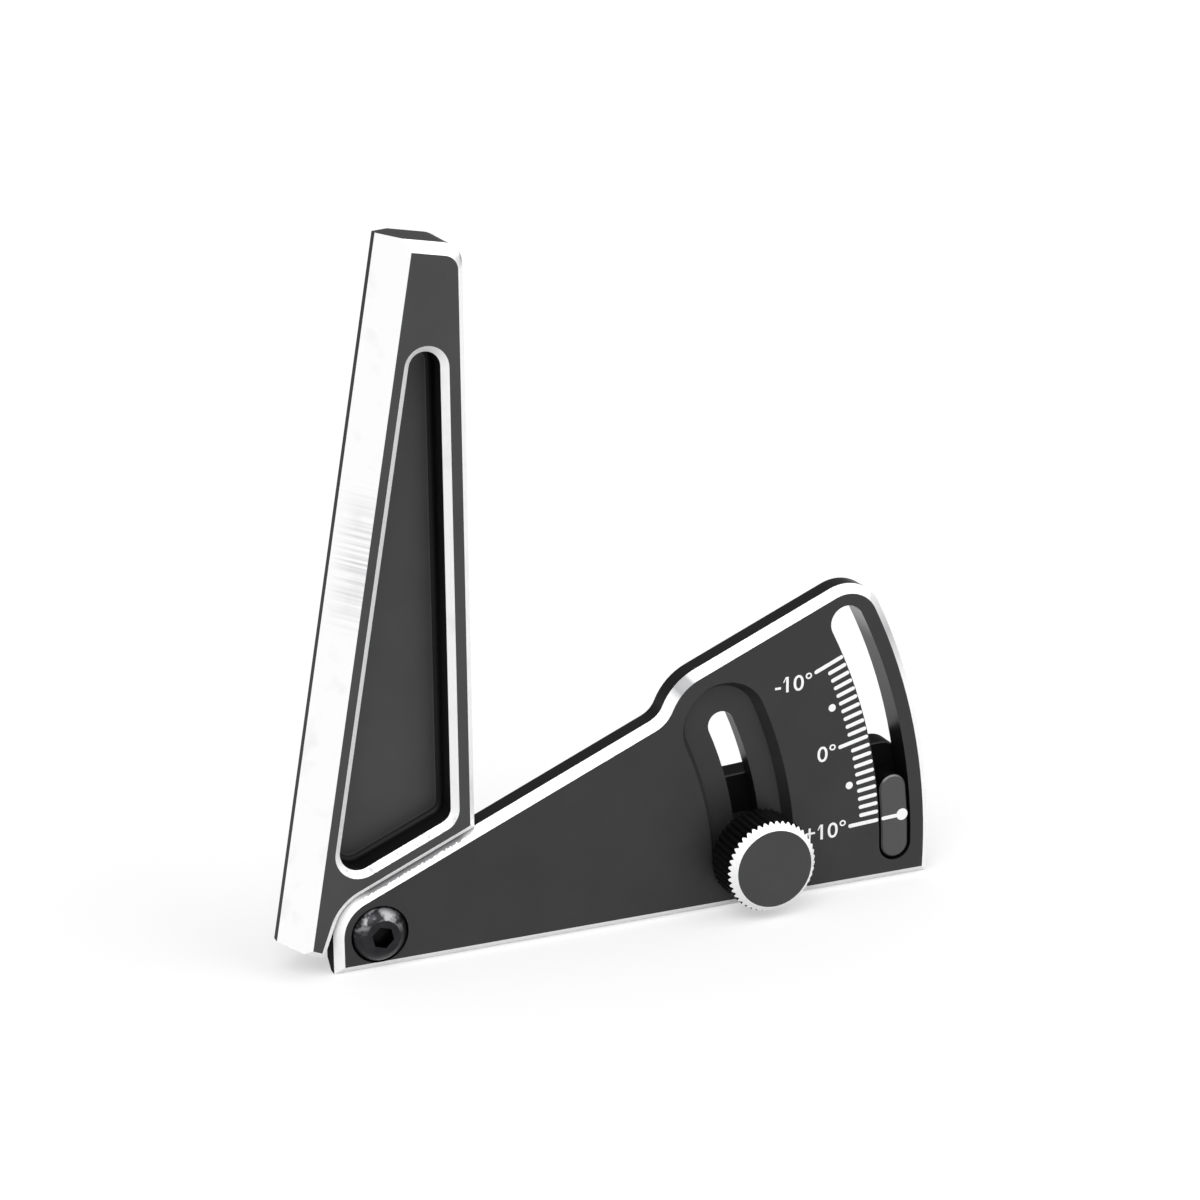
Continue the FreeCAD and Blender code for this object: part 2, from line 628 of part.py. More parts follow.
def crown_outline(sketch):
    """All that lies outside the front face's top line and the round at its right end."""
    right_angle = 90 + size("arm_taper")
    reach = 3 * size("arm_top_rise")
    left = -size("arm_left") - reach
    right = size("arm_right")
    low = size("arm_top") - size("arm_top_rise")
    high = size("arm_top") + reach
    corner = size("arm_corner") - size("arm_chamfer")

    middle = meet(right_angle, size("arm_corner") - size("arm_right"), 0, low - corner)
    round_top = middle + Vector(0, corner, 0)
    round_side = middle + polar(corner, right_angle - 90)
    side_end = round_side + polar(reach, right_angle - 180)

    top_line, arc, side_line, low_line, right_line, high_line, left_line = add_outline(
        sketch,
        [
            line(Vector(left, low, 0), round_top),
            round_to(middle, round_top, round_side, ccw=False),
            line(round_side, side_end),
            line(side_end, Vector(right, side_end.y, 0)),
            line(Vector(right, side_end.y, 0), Vector(right, high, 0)),
            line(Vector(right, high, 0), Vector(left, high, 0)),
            line(Vector(left, high, 0), Vector(left, low, 0)),
        ],
        smooth=(1, 2),
    )
    for level in (top_line, low_line, high_line):
        sketch.addConstraint(Sketcher.Constraint("Horizontal", level))
    for upright in (right_line, left_line):
        sketch.addConstraint(Sketcher.Constraint("Vertical", upright))
    side_terms = "dims.arm_right - dims.arm_chamfer"
    drive(sketch, "side", side_terms, "Distance", *PIVOT, side_line, right - size("arm_chamfer"))
    drive(sketch, "low", "dims.arm_top - dims.arm_top_rise", "Distance", *PIVOT, top_line, low)
    drive(sketch, "high", "dims.arm_top + 3 * dims.arm_top_rise", "Distance", *PIVOT, high_line, high)
    drive(sketch, "left", "dims.arm_left + 3 * dims.arm_top_rise", "Distance", *PIVOT, left_line, -left)
    drive(sketch, "right", "dims.arm_right", "Distance", *PIVOT, right_line, right)
    drive(sketch, "corner", "dims.arm_corner - dims.arm_chamfer", "Radius", arc, corner)
    drive(sketch, "run", "3 * dims.arm_top_rise", "Distance", side_line, reach)
    side_angle = math.radians(right_angle - 180)
    drive(sketch, "taper", "(dims.arm_taper - 90) * 1 deg", "Angle", side_line, side_angle)


def cut_edge_bevels(body):
    """The two long bevels that leave the narrow contact edge, and the one along the top."""
    outside = f"-dims.arm_left - {PAST}"
    inside = f"-dims.arm_left + dims.edge_bevel + {PAST}"
    rear = "dims.arm_depth - dims.arm_front"
    faces = (("front_bevel", "-dims.arm_front", "-", "+"), ("back_bevel", rear, "+", "-"))
    for name, face, out, back in faces:
        bevel = new_sketch(body, name, "XY_Plane")
        level = f"{face} {out} {PAST}"
        deepest = f"{face} {back} (dims.edge_bevel + {PAST})"
        add_profile(bevel, [(outside, level), (inside, level), (outside, deepest)])
        cut(body, bevel, both_ways=True)
    crown = new_sketch(body, "top_bevel", depth="-dims.arm_front")
    crown_outline(crown)
    cut(body, crown, "dims.arm_top_rise", "-dims.arm_top_lean")


def make_gauge_arm(doc):
    """Upright, leg, hub and pointer, machined in one piece."""
    body = new_body(doc, "gauge_arm")
    front = -size("arm_front")
    back = size("arm_depth") - size("arm_front")
    bevel_end = size("edge_bevel") - size("arm_left")

    outline = new_sketch(body, "arm_outline", depth="-dims.arm_front")
    arm_outline(outline)
    upright = pad(body, outline, "dims.arm_depth")
    contact = -size("arm_left") + NEAR
    chamfer(body, upright, edges_at_depth(upright, front, lambda p: p.x > contact), "dims.arm_chamfer")
    cut_edge_bevels(body)

    pocket = new_sketch(body, "arm_pocket", depth="-dims.arm_front")
    pocket_outline(pocket)
    hollow = cut(body, pocket, "dims.pocket_depth")
    rim = pocket.Shape.copy()

    def on_rim(p):
        return rim.distToShape(Part.Vertex(p))[0] < NEAR

    mouth = chamfer(body, hollow, edges_at_depth(hollow, front, on_rim), "dims.pocket_chamfer")
    floor = front + size("pocket_depth")
    fillet(body, mouth, edges_at_depth(mouth, floor), "dims.pocket_floor")

    leg = new_sketch(body, "leg_outline", depth="dims.plate_depth + dims.leg_gap")
    leg_outline(leg)
    beam = pad(body, leg, "dims.arm_depth - dims.arm_front - dims.plate_depth - dims.leg_gap")
    leg_front = size("plate_depth") + size("leg_gap")
    upward = polar(1, size("zero_angle") + 90)

    def on_leg_top(p):
        return abs(p.x * upward.x + p.z * upward.y - size("leg_rise")) < NEAR

    chamfer(body, beam, edges_at_depth(beam, leg_front, on_leg_top), "dims.leg_edge")

    pointer = new_sketch(body, "pointer_outline", depth="0")
    add_arc_slot(
        pointer,
        ("dims.pointer_radius", size("pointer_radius")),
        ("dims.pointer_width / 2", size("pointer_width") / 2),
        ("dims.zero_angle - dims.pointer_span", size("zero_angle") - size("pointer_span")),
        ("dims.zero_angle + dims.pointer_span", size("zero_angle") + size("pointer_span")),
    )
    block = pad(body, pointer, "dims.plate_depth + dims.leg_gap")
    tip = chamfer(body, block, edges_at_depth(block, 0), "dims.pointer_edge")
    chamfer(body, tip, edges_at_depth(tip, back, lambda p: p.x > bevel_end + NEAR), "dims.arm_back_chamfer")

    screw = new_sketch(body, "screw_thread", depth="dims.plate_depth")
    add_circle(screw, "dims.screw_hole")
    cut(body, screw)
    stud = new_sketch(body, "stud_thread", depth="dims.plate_depth")
    place = polar(size("clamp_radius"), size("clamp_angle"))
    add_circle(stud, "dims.stud_hole", "dims.clamp_radius", "dims.clamp_angle", place)
    cut(body, stud)
    lean_with_arm(body)
    return body


# ---------------------------------------------------------------- pivot

def turned_piece(doc, label, corners):
    """A round piece about its own Z, turned from a straight-sided profile."""
    body = new_body(doc, label)
    sketch = new_sketch(body, label + "_profile")
    add_profile(sketch, corners)
    revolve(body, sketch)
    return body


def make_ring(doc, label, inner, outer, front, depth):
    """A plain washer or bush; front is its distance behind the plate's front plane."""
    near = f"-({front})"
    far = f"-({front}) - {depth}"
    return turned_piece(doc, label, [(inner, far), (outer, far), (outer, near), (inner, near)])


def make_pivot_screw(doc):
    """M3 button-head screw: domed head in the counterbore, thread through bush, shim and hub."""
    body = new_body(doc, "pivot_screw")
    seat = size("sheet_gap") - size("seat_depth")
    crown = seat + size("head_height")
    lip = seat + size("head_lip")
    rim = size("head_radius")
    flat = size("head_flat")
    radius = size("screw_radius")
    lead = size("thread_lead")
    end = size("arm_front") - size("arm_depth") + size("thread_end")
    chord = Vector(flat - rim, crown - lip, 0)
    inward = Vector(-chord.y, chord.x, 0).normalize()
    rise = math.sqrt(size("head_dome") ** 2 - (chord.Length / 2) ** 2)
    dome_middle = Vector((rim + flat) / 2, (lip + crown) / 2, 0) + inward * rise

    sketch = new_sketch(body, "screw_profile")
    corners = [
        Vector(0, end, 0), Vector(radius - lead, end, 0), Vector(radius, end + lead, 0),
        Vector(radius, seat, 0), Vector(rim, seat, 0), Vector(rim, lip, 0),
        Vector(flat, crown, 0), Vector(0, crown, 0),
    ]
    sides = [line(corner, corners[place - 7]) for place, corner in enumerate(corners)]
    sides[5] = round_to(dome_middle, corners[5], corners[6])
    bottom, tip, shank, under, lip_side, dome, crown_line, axis = add_outline(sketch, sides)
    for level in (bottom, under, crown_line):
        sketch.addConstraint(Sketcher.Constraint("Horizontal", level))
    for upright in (shank, lip_side, axis):
        sketch.addConstraint(Sketcher.Constraint("Vertical", upright))
    sketch.addConstraint(Sketcher.Constraint("PointOnObject", axis, 1, UPRIGHT))
    seat_height = "dims.sheet_gap - dims.seat_depth"
    end_height = "dims.arm_front - dims.arm_depth + dims.thread_end"
    drive(sketch, "seat", seat_height, "DistanceY", *PIVOT, under, 1, seat)
    drive(sketch, "crown", f"{seat_height} + dims.head_height", "DistanceY", *PIVOT, crown_line, 1, crown)
    drive(sketch, "lip", "dims.head_lip", "DistanceY", lip_side, 1, lip_side, 2, lip - seat)
    drive(sketch, "thread", "dims.screw_radius", "DistanceX", *PIVOT, under, 1, radius)
    drive(sketch, "head", "dims.head_radius", "DistanceX", *PIVOT, under, 2, rim)
    drive(sketch, "flat", "dims.head_flat", "DistanceX", *PIVOT, crown_line, 1, flat)
    drive(sketch, "dome", "dims.head_dome", "Radius", dome, size("head_dome"))
    drive(sketch, "end", end_height, "DistanceY", *PIVOT, bottom, 1, end)
    drive(sketch, "lead_across", "dims.thread_lead", "DistanceX", tip, 1, tip, 2, lead)
    drive(sketch, "lead_upward", "dims.thread_lead", "DistanceY", tip, 1, tip, 2, lead)
    revolve(body, sketch)

    socket = new_sketch(body, "screw_socket", "XY_Plane", f"{seat_height} + dims.head_height")
    points = [polar(size("screw_socket"), size("socket_turn") + 60 * place) for place in range(6)]
    sides = add_outline(socket, [line(points[place], points[(place + 1) % 6]) for place in range(6)])
    ring = socket.addGeometry(Part.Circle(Vector(0, 0, 0), Vector(0, 0, 1), size("screw_socket")), True)
    socket.addConstraint(Sketcher.Constraint("Coincident", ring, 3, *PIVOT))
    for side in sides:
        socket.addConstraint(Sketcher.Constraint("PointOnObject", side, 1, ring))
    for side in sides[1:]:
        socket.addConstraint(Sketcher.Constraint("Equal", sides[0], side))
    turn = math.radians(size("socket_turn") + 120)
    drive(socket, "turn", "(dims.socket_turn + 120) * 1 deg", "Angle", sides[0], turn)
    drive(socket, "corner", "dims.screw_socket", "Radius", ring, size("screw_socket"))
    cut(body, socket, "dims.socket_depth")
    turn_to_front(body)
    return body


def make_pivot_rings(doc):
    """The bush that the plate turns on, and the thin washer behind the plate."""
    seat = "dims.seat_depth - dims.sheet_gap"
    rear = "dims.plate_depth + dims.leg_gap"
    bush_length = f"({rear} - dims.seat_depth + dims.sheet_gap)"
    shim_front = f"{rear} - dims.shim_depth"
    bush = make_ring(doc, "pivot_bush", "dims.screw_hole", "dims.bush_radius", seat, bush_length)
    shim = make_ring(
        doc, "pivot_shim", "dims.bore_radius", "dims.shim_radius", shim_front, "dims.shim_depth"
    )
    turn_to_front(bush)
    turn_to_front(shim)
    return [bush, shim]


# ---------------------------------------------------------------- clamp

def place_at_clamp(body):
    turn_to_front(body, "dims.clamp_radius", "(dims.clamp_angle - dims.swing)")


def make_clamp_knob(doc):
    """The knurled knob: chamfered head, a neck that reaches the washer and a blind hole for the stud."""
    hole = "dims.knob_front - dims.knob_solid"
    neck = "-(dims.sink_depth - 2 * dims.sheet_gap - dims.washer_depth)"
    body = turned_piece(
        doc,
        "clamp_knob",
        [
            ("0", hole), ("dims.stud_hole", hole), ("dims.stud_hole", neck), ("dims.knob_neck", neck),
            ("dims.knob_neck", "dims.knob_back"), ("dims.knob_radius", "dims.knob_back"),
            ("dims.knob_radius", "dims.knob_front - dims.knob_edge"), ("dims.knob_face", "dims.knob_front"),
            ("0", "dims.knob_front"),
        ],
    )
    groove = new_sketch(body, "knurl_groove", "XY_Plane", "dims.knob_front")
    tips = "dims.knob_radius + dims.sheet_gap"
    wide = "dims.knurl_share * dims.knob_radius * tan(180 deg / dims.knurl_count)"
    add_profile(groove, [("dims.knob_radius - dims.knurl_depth", "0"), (tips, f"-{wide}"), (tips, wide)])
    first = cut(body, groove, "dims.knob_front - dims.knob_back + dims.sheet_gap")
    knurl = body.newObject("PartDesign::PolarPattern", "knurl")
    knurl.Originals = [first]
    knurl.Axis = (groove, ["N_Axis"])
    knurl.Angle = 360
    knurl.Occurrences = int(size("knurl_count"))
    body.Tip = knurl
    place_at_clamp(body)
    return body


def make_clamp_stud(doc):
    """The M2.5 stud, from inside the knob to just short of the leg's back."""
    head = "dims.knob_front - dims.knob_solid - dims.sheet_gap"
    end = "dims.arm_front - dims.arm_depth + dims.thread_end"
    body = turned_piece(
        doc, "clamp_stud",
        [("0", end), ("dims.stud_radius", end), ("dims.stud_radius", head), ("0", head)],
    )
    place_at_clamp(body)
    return body


def make_clamp_rings(doc):
    """The washer on the floor of the sunk track, and the thin one between plate and leg."""
    floor = "dims.sink_depth - dims.sheet_gap - dims.washer_depth"
    rear = "dims.plate_depth + dims.leg_gap - dims.shim_depth"
    washer = make_ring(
        doc, "clamp_washer", "dims.loose_hole", "dims.washer_radius", floor, "dims.washer_depth"
    )
    shim = make_ring(doc, "clamp_shim", "dims.loose_hole", "dims.shim_radius", rear, "dims.shim_depth")
    place_at_clamp(washer)
    place_at_clamp(shim)
    return [washer, shim]


# ---------------------------------------------------------------- build, check, write

def build():
    doc = FreeCAD.newDocument("camber_caster_gauge")
    make_sheet(doc)
    bodies = [make_scale_plate(doc), make_gauge_arm(doc), make_pivot_screw(doc)]
    bodies += make_pivot_rings(doc)
    bodies += [make_clamp_knob(doc), make_clamp_stud(doc)]
    bodies += make_clamp_rings(doc)
    doc.recompute()
    return doc, bodies


def check(doc, bodies):
    """Stops when an object failed or a body has no sound solid."""
    for item in doc.Objects:
        if "Invalid" in item.State or "Error" in item.State:
            raise RuntimeError(f"{item.Name} failed: {item.State}")
    for body in bodies:
        shape = body.Shape
        if shape.isNull() or not shape.isValid() or len(shape.Solids) != 1:
            raise RuntimeError(f"{body.Label} is not one sound solid")


def write(bodies):
    os.makedirs("parts", exist_ok=True)
    for body in bodies:
        body.Shape.exportStep(f"parts/{body.Label}.step")
        box = body.Shape.BoundBox
        print(
            f"{body.Label}: volume {body.Shape.Volume:.1f} mm3, x {box.XMin:.2f} to {box.XMax:.2f}, "
            f"y {box.YMin:.2f} to {box.YMax:.2f}, z {box.ZMin:.2f} to {box.ZMax:.2f}"
        )


document, pieces = build()
check(document, pieces)
write(pieces)
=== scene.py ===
import json
import math

import bpy
from mathutils import Matrix, Vector


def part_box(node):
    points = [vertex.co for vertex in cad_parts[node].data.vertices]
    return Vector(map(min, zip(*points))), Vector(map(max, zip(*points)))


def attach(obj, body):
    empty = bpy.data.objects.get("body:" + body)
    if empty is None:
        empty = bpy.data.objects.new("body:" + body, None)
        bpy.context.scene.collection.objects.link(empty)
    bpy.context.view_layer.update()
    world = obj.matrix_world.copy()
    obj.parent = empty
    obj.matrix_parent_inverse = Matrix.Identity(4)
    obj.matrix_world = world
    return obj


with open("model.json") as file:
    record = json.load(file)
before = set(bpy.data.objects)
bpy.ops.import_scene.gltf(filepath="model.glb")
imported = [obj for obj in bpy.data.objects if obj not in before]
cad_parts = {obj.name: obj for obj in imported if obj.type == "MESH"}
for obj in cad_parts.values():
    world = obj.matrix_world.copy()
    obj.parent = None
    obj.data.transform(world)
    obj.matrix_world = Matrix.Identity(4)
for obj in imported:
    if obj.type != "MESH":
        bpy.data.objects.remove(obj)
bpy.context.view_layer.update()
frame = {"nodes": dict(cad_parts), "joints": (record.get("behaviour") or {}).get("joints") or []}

# ---------------------------------------------------------------- scale plate
# The flat plate that the gauge stands on, milled from 3 mm aluminium and anodised black all over. Its
# front edges are cut once more after that, which leaves them as bright bare metal.
MM = 0.001
cad_objects = frame["nodes"]
plate_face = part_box("scale_plate")[0].y


def linear(code):
    """An sRGB hex colour as the linear values that a socket takes."""
    parts = [int(code[start:start + 2], 16) / 255 for start in (1, 3, 5)]
    return (*[p / 12.92 if p <= 0.04045 else ((p + 0.055) / 1.055) ** 2.4 for p in parts], 1.0)


def new_tree(name):
    """The empty node tree of a new material."""
    material = bpy.data.materials.new(name)
    material.use_nodes = True
    material.node_tree.nodes.clear()
    return material.node_tree


def add_node(tree, kind, inputs=None, **settings):
    """Adds a node with its settings, then fills its inputs, given by name or by place.

    An input takes a value, a hex colour, or a node or one of its outputs to link.
    """
    node = tree.nodes.new("ShaderNode" + kind)
    for name, value in settings.items():
        setattr(node, name, value)
    sockets = [socket for socket in node.inputs if socket.enabled]
    for name, value in (inputs or {}).items():
        socket = sockets[name] if isinstance(name, int) else next(s for s in sockets if s.name == name)
        if isinstance(value, bpy.types.Node):
            value = next(output for output in value.outputs if output.enabled)
        if isinstance(value, bpy.types.NodeSocket):
            tree.links.new(value, socket)
        else:
            socket.default_value = linear(value) if isinstance(value, str) else value
    return node


def cover(piece, name):
    """Gives every slot of a piece the material of that name."""
    if not piece.material_slots:
        piece.data.materials.append(None)
    for slot in piece.material_slots:
        slot.material = bpy.data.materials[name]


# A chamfer and a wall are told apart by the Y of the way they face: a middle and a spread round it.
chamfer_facing, chamfer_spread = -0.75, 0.15
wall_facing, wall_spread = 0.05, 0.5
# The etched metal's grain and the end mill's lines are drawn coarser than real ones, so that they show.
grain_size = 0.14 * MM
mill_line_gap = 0.25 * MM
mill_line_stretch = 0.05
relief_height = 0.008 * MM
cloud_size = 6 * MM
dull_patch_size = 2.5 * MM
skin_smoothest, skin_roughest = 0.40, 0.54
wall_roughness, cut_roughness = 0.35, 0.3
skin_metallic, cut_metallic = 0.6, 0.15


def anodised_aluminium(name, deep, pale, wall, details=None):
    """Dyed black skin, with the chamfers at the front cut bright; they are told apart by where they face.

    The skin is satin and slightly cloudy, over the fine grain of the etched metal. The walls keep the
    lines of the end mill and shine more. The cut metal is almost white, with a little dullness in
    patches. details may change the skin's colour and roughness, and the bare metal's colour and place.
    """
    tree = new_tree(name)
    place = add_node(tree, "TexCoord")
    spot = place.outputs["Object"]
    facing = add_node(tree, "SeparateXYZ", {"Vector": place.outputs["Normal"]}).outputs["Y"]
    is_cut = add_node(tree, "Math", {0: facing, 1: chamfer_facing, 2: chamfer_spread}, operation="COMPARE")
    is_wall = add_node(tree, "Math", {0: facing, 1: wall_facing, 2: wall_spread}, operation="COMPARE")

    cloud = add_node(tree, "TexNoise", {"Vector": spot, "Scale": 1 / cloud_size, "Detail": 3.0})
    grain = add_node(tree, "TexNoise", {"Vector": spot, "Scale": 1 / grain_size, "Detail": 2.0})
    along_wall = add_node(tree, "Mapping", {"Vector": spot, "Scale": (1.0, mill_line_stretch, 1.0)})
    mill_lines = add_node(tree, "TexNoise", {"Vector": along_wall, "Scale": 1 / mill_line_gap, "Detail": 2.0})
    patch = add_node(tree, "TexNoise", {"Vector": spot, "Scale": 1 / dull_patch_size, "Detail": 2.0})

    skin = add_node(tree, "Mix", {"Factor": cloud, "A": deep, "B": pale}, data_type="RGBA")
    dye_and_painted_light = add_node(tree, "Mix", {"Factor": is_wall, "A": skin, "B": wall}, data_type="RGBA")
    dull = add_node(tree, "MapRange", {"Value": patch, "From Min": 0.55, "From Max": 0.85, "To Max": 0.4})
    bare = add_node(tree, "Mix", {"Factor": dull, "A": "#FBFBFB", "B": "#DADADC"}, data_type="RGBA")
    satin = add_node(tree, "MapRange", {"Value": grain, "To Min": skin_smoothest, "To Max": skin_roughest})
    satin = add_node(tree, "Mix", {"Factor": is_wall, "A": satin, "B": wall_roughness})
    if details:
        dye_and_painted_light, satin, bare, is_cut = details(tree, spot, place.outputs["Normal"], dye_and_painted_light, satin, bare, is_cut)
    colour = add_node(tree, "Mix", {"Factor": is_cut, "A": dye_and_painted_light, "B": bare}, data_type="RGBA")
    rough = add_node(tree, "Mix", {"Factor": is_cut, "A": satin, "B": cut_roughness})
    metal = add_node(tree, "Mix", {"Factor": is_cut, "A": skin_metallic, "B": cut_metallic})
    relief = add_node(tree, "Mix", {"Factor": is_wall, "A": grain, "B": mill_lines})
    bump = add_node(tree, "Bump", {"Height": relief, "Strength": 0.5, "Distance": relief_height})
    shader = add_node(tree, "BsdfPrincipled", {
        "Base Color": colour, "Metallic": metal, "Roughness": rough, "Normal": bump,
        "Specular IOR Level": 0.25,
    })
    add_node(tree, "OutputMaterial", {"Surface": shader})


def tent(tree, value, middle, reach, core=0.0):
    """1 at the middle and as far as its core, then falling to 0 at its reach, on either side."""
    away = add_node(tree, "Math", {0: value, 1: middle}, operation="SUBTRACT")
    away = add_node(tree, "Math", {0: away}, operation="ABSOLUTE")
    return add_node(tree, "MapRange", {
        "Value": away, "From Min": core, "From Max": reach, "To Min": 1.0, "To Max": 0.0,
    })


# A surface that faces one way has at least so much of its normal that way.
squarely, mostly = 0.9, 0.8
left_walls_end = 2.5 * MM


def rougher_left_walls(tree, place, facing, satin, rough):
    """The roughness, higher on the outer walls that face left, which look blacker for it."""
    faces_left = add_node(tree, "Math", {0: facing["X"], 1: -squarely}, operation="LESS_THAN")
    is_left = add_node(tree, "Math", {0: place["X"], 1: left_walls_end}, operation="LESS_THAN")
    left_wall = add_node(tree, "Math", {0: faces_left, 1: is_left}, operation="MULTIPLY")
    return add_node(tree, "Mix", {"Factor": left_wall, "A": satin, "B": rough})


# Where the chamfer is painted greyer, as painted reflection: high on the curved end, on the crest of the
# step, which is found by its distance up the slope, and in a strip at the back of the chamfer, below the
# arm's foot, which is a painted reflection of the arm's dark underside.
end_facing, end_facing_spread = 0.75, 0.25
end_height, end_reach = 27 * MM, 6 * MM
up_the_step = (0.77, 0, 0.64)
crest_distance, crest_core, crest_reach = 40.4 * MM, 0.7 * MM, 1.6 * MM
crest_lowest = 20 * MM
# The strip of painted reflection of the arm's underside, below the arm's foot.
strip_edge_low, strip_edge_high = plate_face + 0.36 * MM, plate_face + 0.5 * MM
strip_tooth = 0.28 * MM
strip_middle, strip_core, strip_reach = 4 * MM, 4.6 * MM, 6.2 * MM
strip_lowest = 7 * MM
# Where the window's outer wall is painted paler: a painted reflection of the floor behind.
outer_wall_start = 50 * MM
paler_from, paler_to = 26 * MM, 29.5 * MM


def plate_details(tree, spot, normal, dye_and_painted_light, satin, bare, is_cut):
    """Painted reflections make the chamfer greyer high on the curved end and at the step's crest.

    Along its back, below the arm's foot, the chamfer has a ragged dark strip, a painted reflection of the
    arm's dark underside. The window's outer wall is painted paler towards its upper end, a painted reflection
    of the floor behind.
    """
    place = add_node(tree, "SeparateXYZ", {"Vector": spot}).outputs
    facing = add_node(tree, "SeparateXYZ", {"Vector": normal}).outputs
    satin = rougher_left_walls(tree, place, facing, satin, rough=0.95)
    # Grey high on the curved end of the chamfer: painted reflection.
    faces_end = add_node(tree, "Math", {
        0: facing["X"], 1: end_facing, 2: end_facing_spread,
    }, operation="COMPARE")
    end_patch = tent(tree, place["Z"], end_height, end_reach)
    painted_end_reflection = add_node(tree, "Math", {0: faces_end, 1: end_patch}, operation="MULTIPLY")
    bare = add_node(tree, "Mix", {"Factor": painted_end_reflection, "A": bare, "B": "#B4B4B6"}, data_type="RGBA")

    # Grey on the step's crest: painted reflection.
    up_slope = add_node(tree, "VectorMath", {0: spot, 1: up_the_step}, operation="DOT_PRODUCT")
    crest = tent(tree, up_slope, crest_distance, crest_reach, core=crest_core)
    is_high = add_node(tree, "Math", {0: place["Z"], 1: crest_lowest}, operation="GREATER_THAN")
    painted_crest_reflection = add_node(tree, "Math", {0: crest, 1: is_high}, operation="MULTIPLY")
    bare = add_node(tree, "Mix", {"Factor": painted_crest_reflection, "A": bare, "B": "#9A9A9C"}, data_type="RGBA")

    # A ragged dark strip at the chamfer's back, below the arm's foot: painted reflection of the arm's dark
    # underside.
    ragged = add_node(tree, "TexNoise", {"Vector": spot, "Scale": 1 / strip_tooth, "Detail": 2.0})
    strip_edge = add_node(tree, "MapRange", {
        "Value": ragged, "From Min": 0.35, "From Max": 0.65,
        "To Min": strip_edge_low, "To Max": strip_edge_high,
    })
    at_back = add_node(tree, "Math", {0: place["Y"], 1: strip_edge}, operation="GREATER_THAN")
    below_foot = tent(tree, place["X"], strip_middle, strip_reach, core=strip_core)
    painted_arm_reflection = add_node(tree, "Math", {0: at_back, 1: below_foot}, operation="MULTIPLY")
    above_screw = add_node(tree, "Math", {0: place["Z"], 1: strip_lowest}, operation="GREATER_THAN")
    painted_arm_reflection = add_node(tree, "Math", {0: painted_arm_reflection, 1: above_screw}, operation="MULTIPLY")
    bare = add_node(tree, "Mix", {"Factor": painted_arm_reflection, "A": bare, "B": "#8E8E90"}, data_type="RGBA")

    # The window's outer wall is painted paler towards its upper end: painted reflection of the floor behind.
    faces_scale = add_node(tree, "Math", {0: facing["X"], 1: -mostly}, operation="LESS_THAN")
    is_outer = add_node(tree, "Math", {0: place["X"], 1: outer_wall_start}, operation="GREATER_THAN")
    outer_wall = add_node(tree, "Math", {0: faces_scale, 1: is_outer}, operation="MULTIPLY")
    upper_end = add_node(tree, "MapRange", {
        "Value": place["Z"], "From Min": paler_from, "From Max": paler_to,
    }, interpolation_type="SMOOTHSTEP")
    painted_floor_reflection = add_node(tree, "Math", {0: outer_wall, 1: upper_end}, operation="MULTIPLY")
    dye_and_painted_light = add_node(tree, "Mix", {"Factor": painted_floor_reflection, "A": dye_and_painted_light, "B": "#98989A"}, data_type="RGBA")
    return dye_and_painted_light, satin, bare, is_cut


anodised_aluminium(
    "plate_anodised_aluminium", deep="#363637", pale="#3F3F40", wall="#212122", details=plate_details
)
cover(cad_objects["scale_plate"], "plate_anodised_aluminium")

# ---------------------------------------------------------------- scale on the plate
# 21 lines a degree apart, two dots and three numbers, pad-printed in white ink beside the window. The
# ink is matt and a little uneven, and stands 0.02 mm off the plate. Angles are in degrees, and reaches
# are measured from the pivot.
pivot = Vector(next(joint for joint in frame["joints"] if joint["name"] == "arm_pivot")["pos_m"])
scale_zero = 13.28
scale_end = 10
half_way = 5
line_outer = 53.95 * MM
line_inner = 51.8 * MM
long_line_inner = 50.52 * MM
line_width = 0.41 * MM
dot_reach = 51.0 * MM
dot_radius = 0.4 * MM
ink_height = 0.02 * MM
ink_mottle_size = 0.3 * MM
ink_relief = 0.005 * MM


def printing_ink(name):
    """Opaque white ink that dried matt, with a faint unevenness from the soft pad that printed it."""
    tree = new_tree(name)
    spot = add_node(tree, "TexCoord").outputs["Object"]
    uneven = add_node(tree, "TexNoise", {"Vector": spot, "Scale": 1 / ink_mottle_size, "Detail": 3.0})
    colour = add_node(tree, "Mix", {"Factor": uneven, "A": "#EFEFEE", "B": "#FDFDFD"}, data_type="RGBA")
    bump = add_node(tree, "Bump", {"Height": uneven, "Strength": 0.3, "Distance": ink_relief})
    shader = add_node(tree, "BsdfPrincipled", {"Base Color": colour, "Roughness": 0.55, "Normal": bump})
    add_node(tree, "OutputMaterial", {"Surface": shader})


def turned_about_pivot(degrees):
    """The turn about the pivot that raises the base line's direction by so many degrees."""
    turn = Matrix.Rotation(-math.radians(degrees), 4, "Y")
    return Matrix.Translation(pivot) @ turn @ Matrix.Translation(-pivot)


def ink_disc(reach, radius, height=ink_height):
    """A flat round mark on the base line's direction, its edge softened as ink's is."""
    bpy.ops.object.select_all(action="DESELECT")
    sides = 32
    bpy.ops.mesh.primitive_cylinder_add(
        vertices=sides, radius=radius, depth=2 * height,
        location=(pivot.x + reach, plate_face, pivot.z), rotation=(math.pi / 2, math.pi / sides, 0),
    )
    disc = bpy.context.object
    bpy.ops.object.transform_apply(location=True, rotation=True, scale=True)
    soften = disc.modifiers.new("soft edge", "BEVEL")
    soften.width = height / 2
    soften.limit_method = "ANGLE"
    bpy.ops.object.modifier_apply(modifier=soften.name)
    return disc


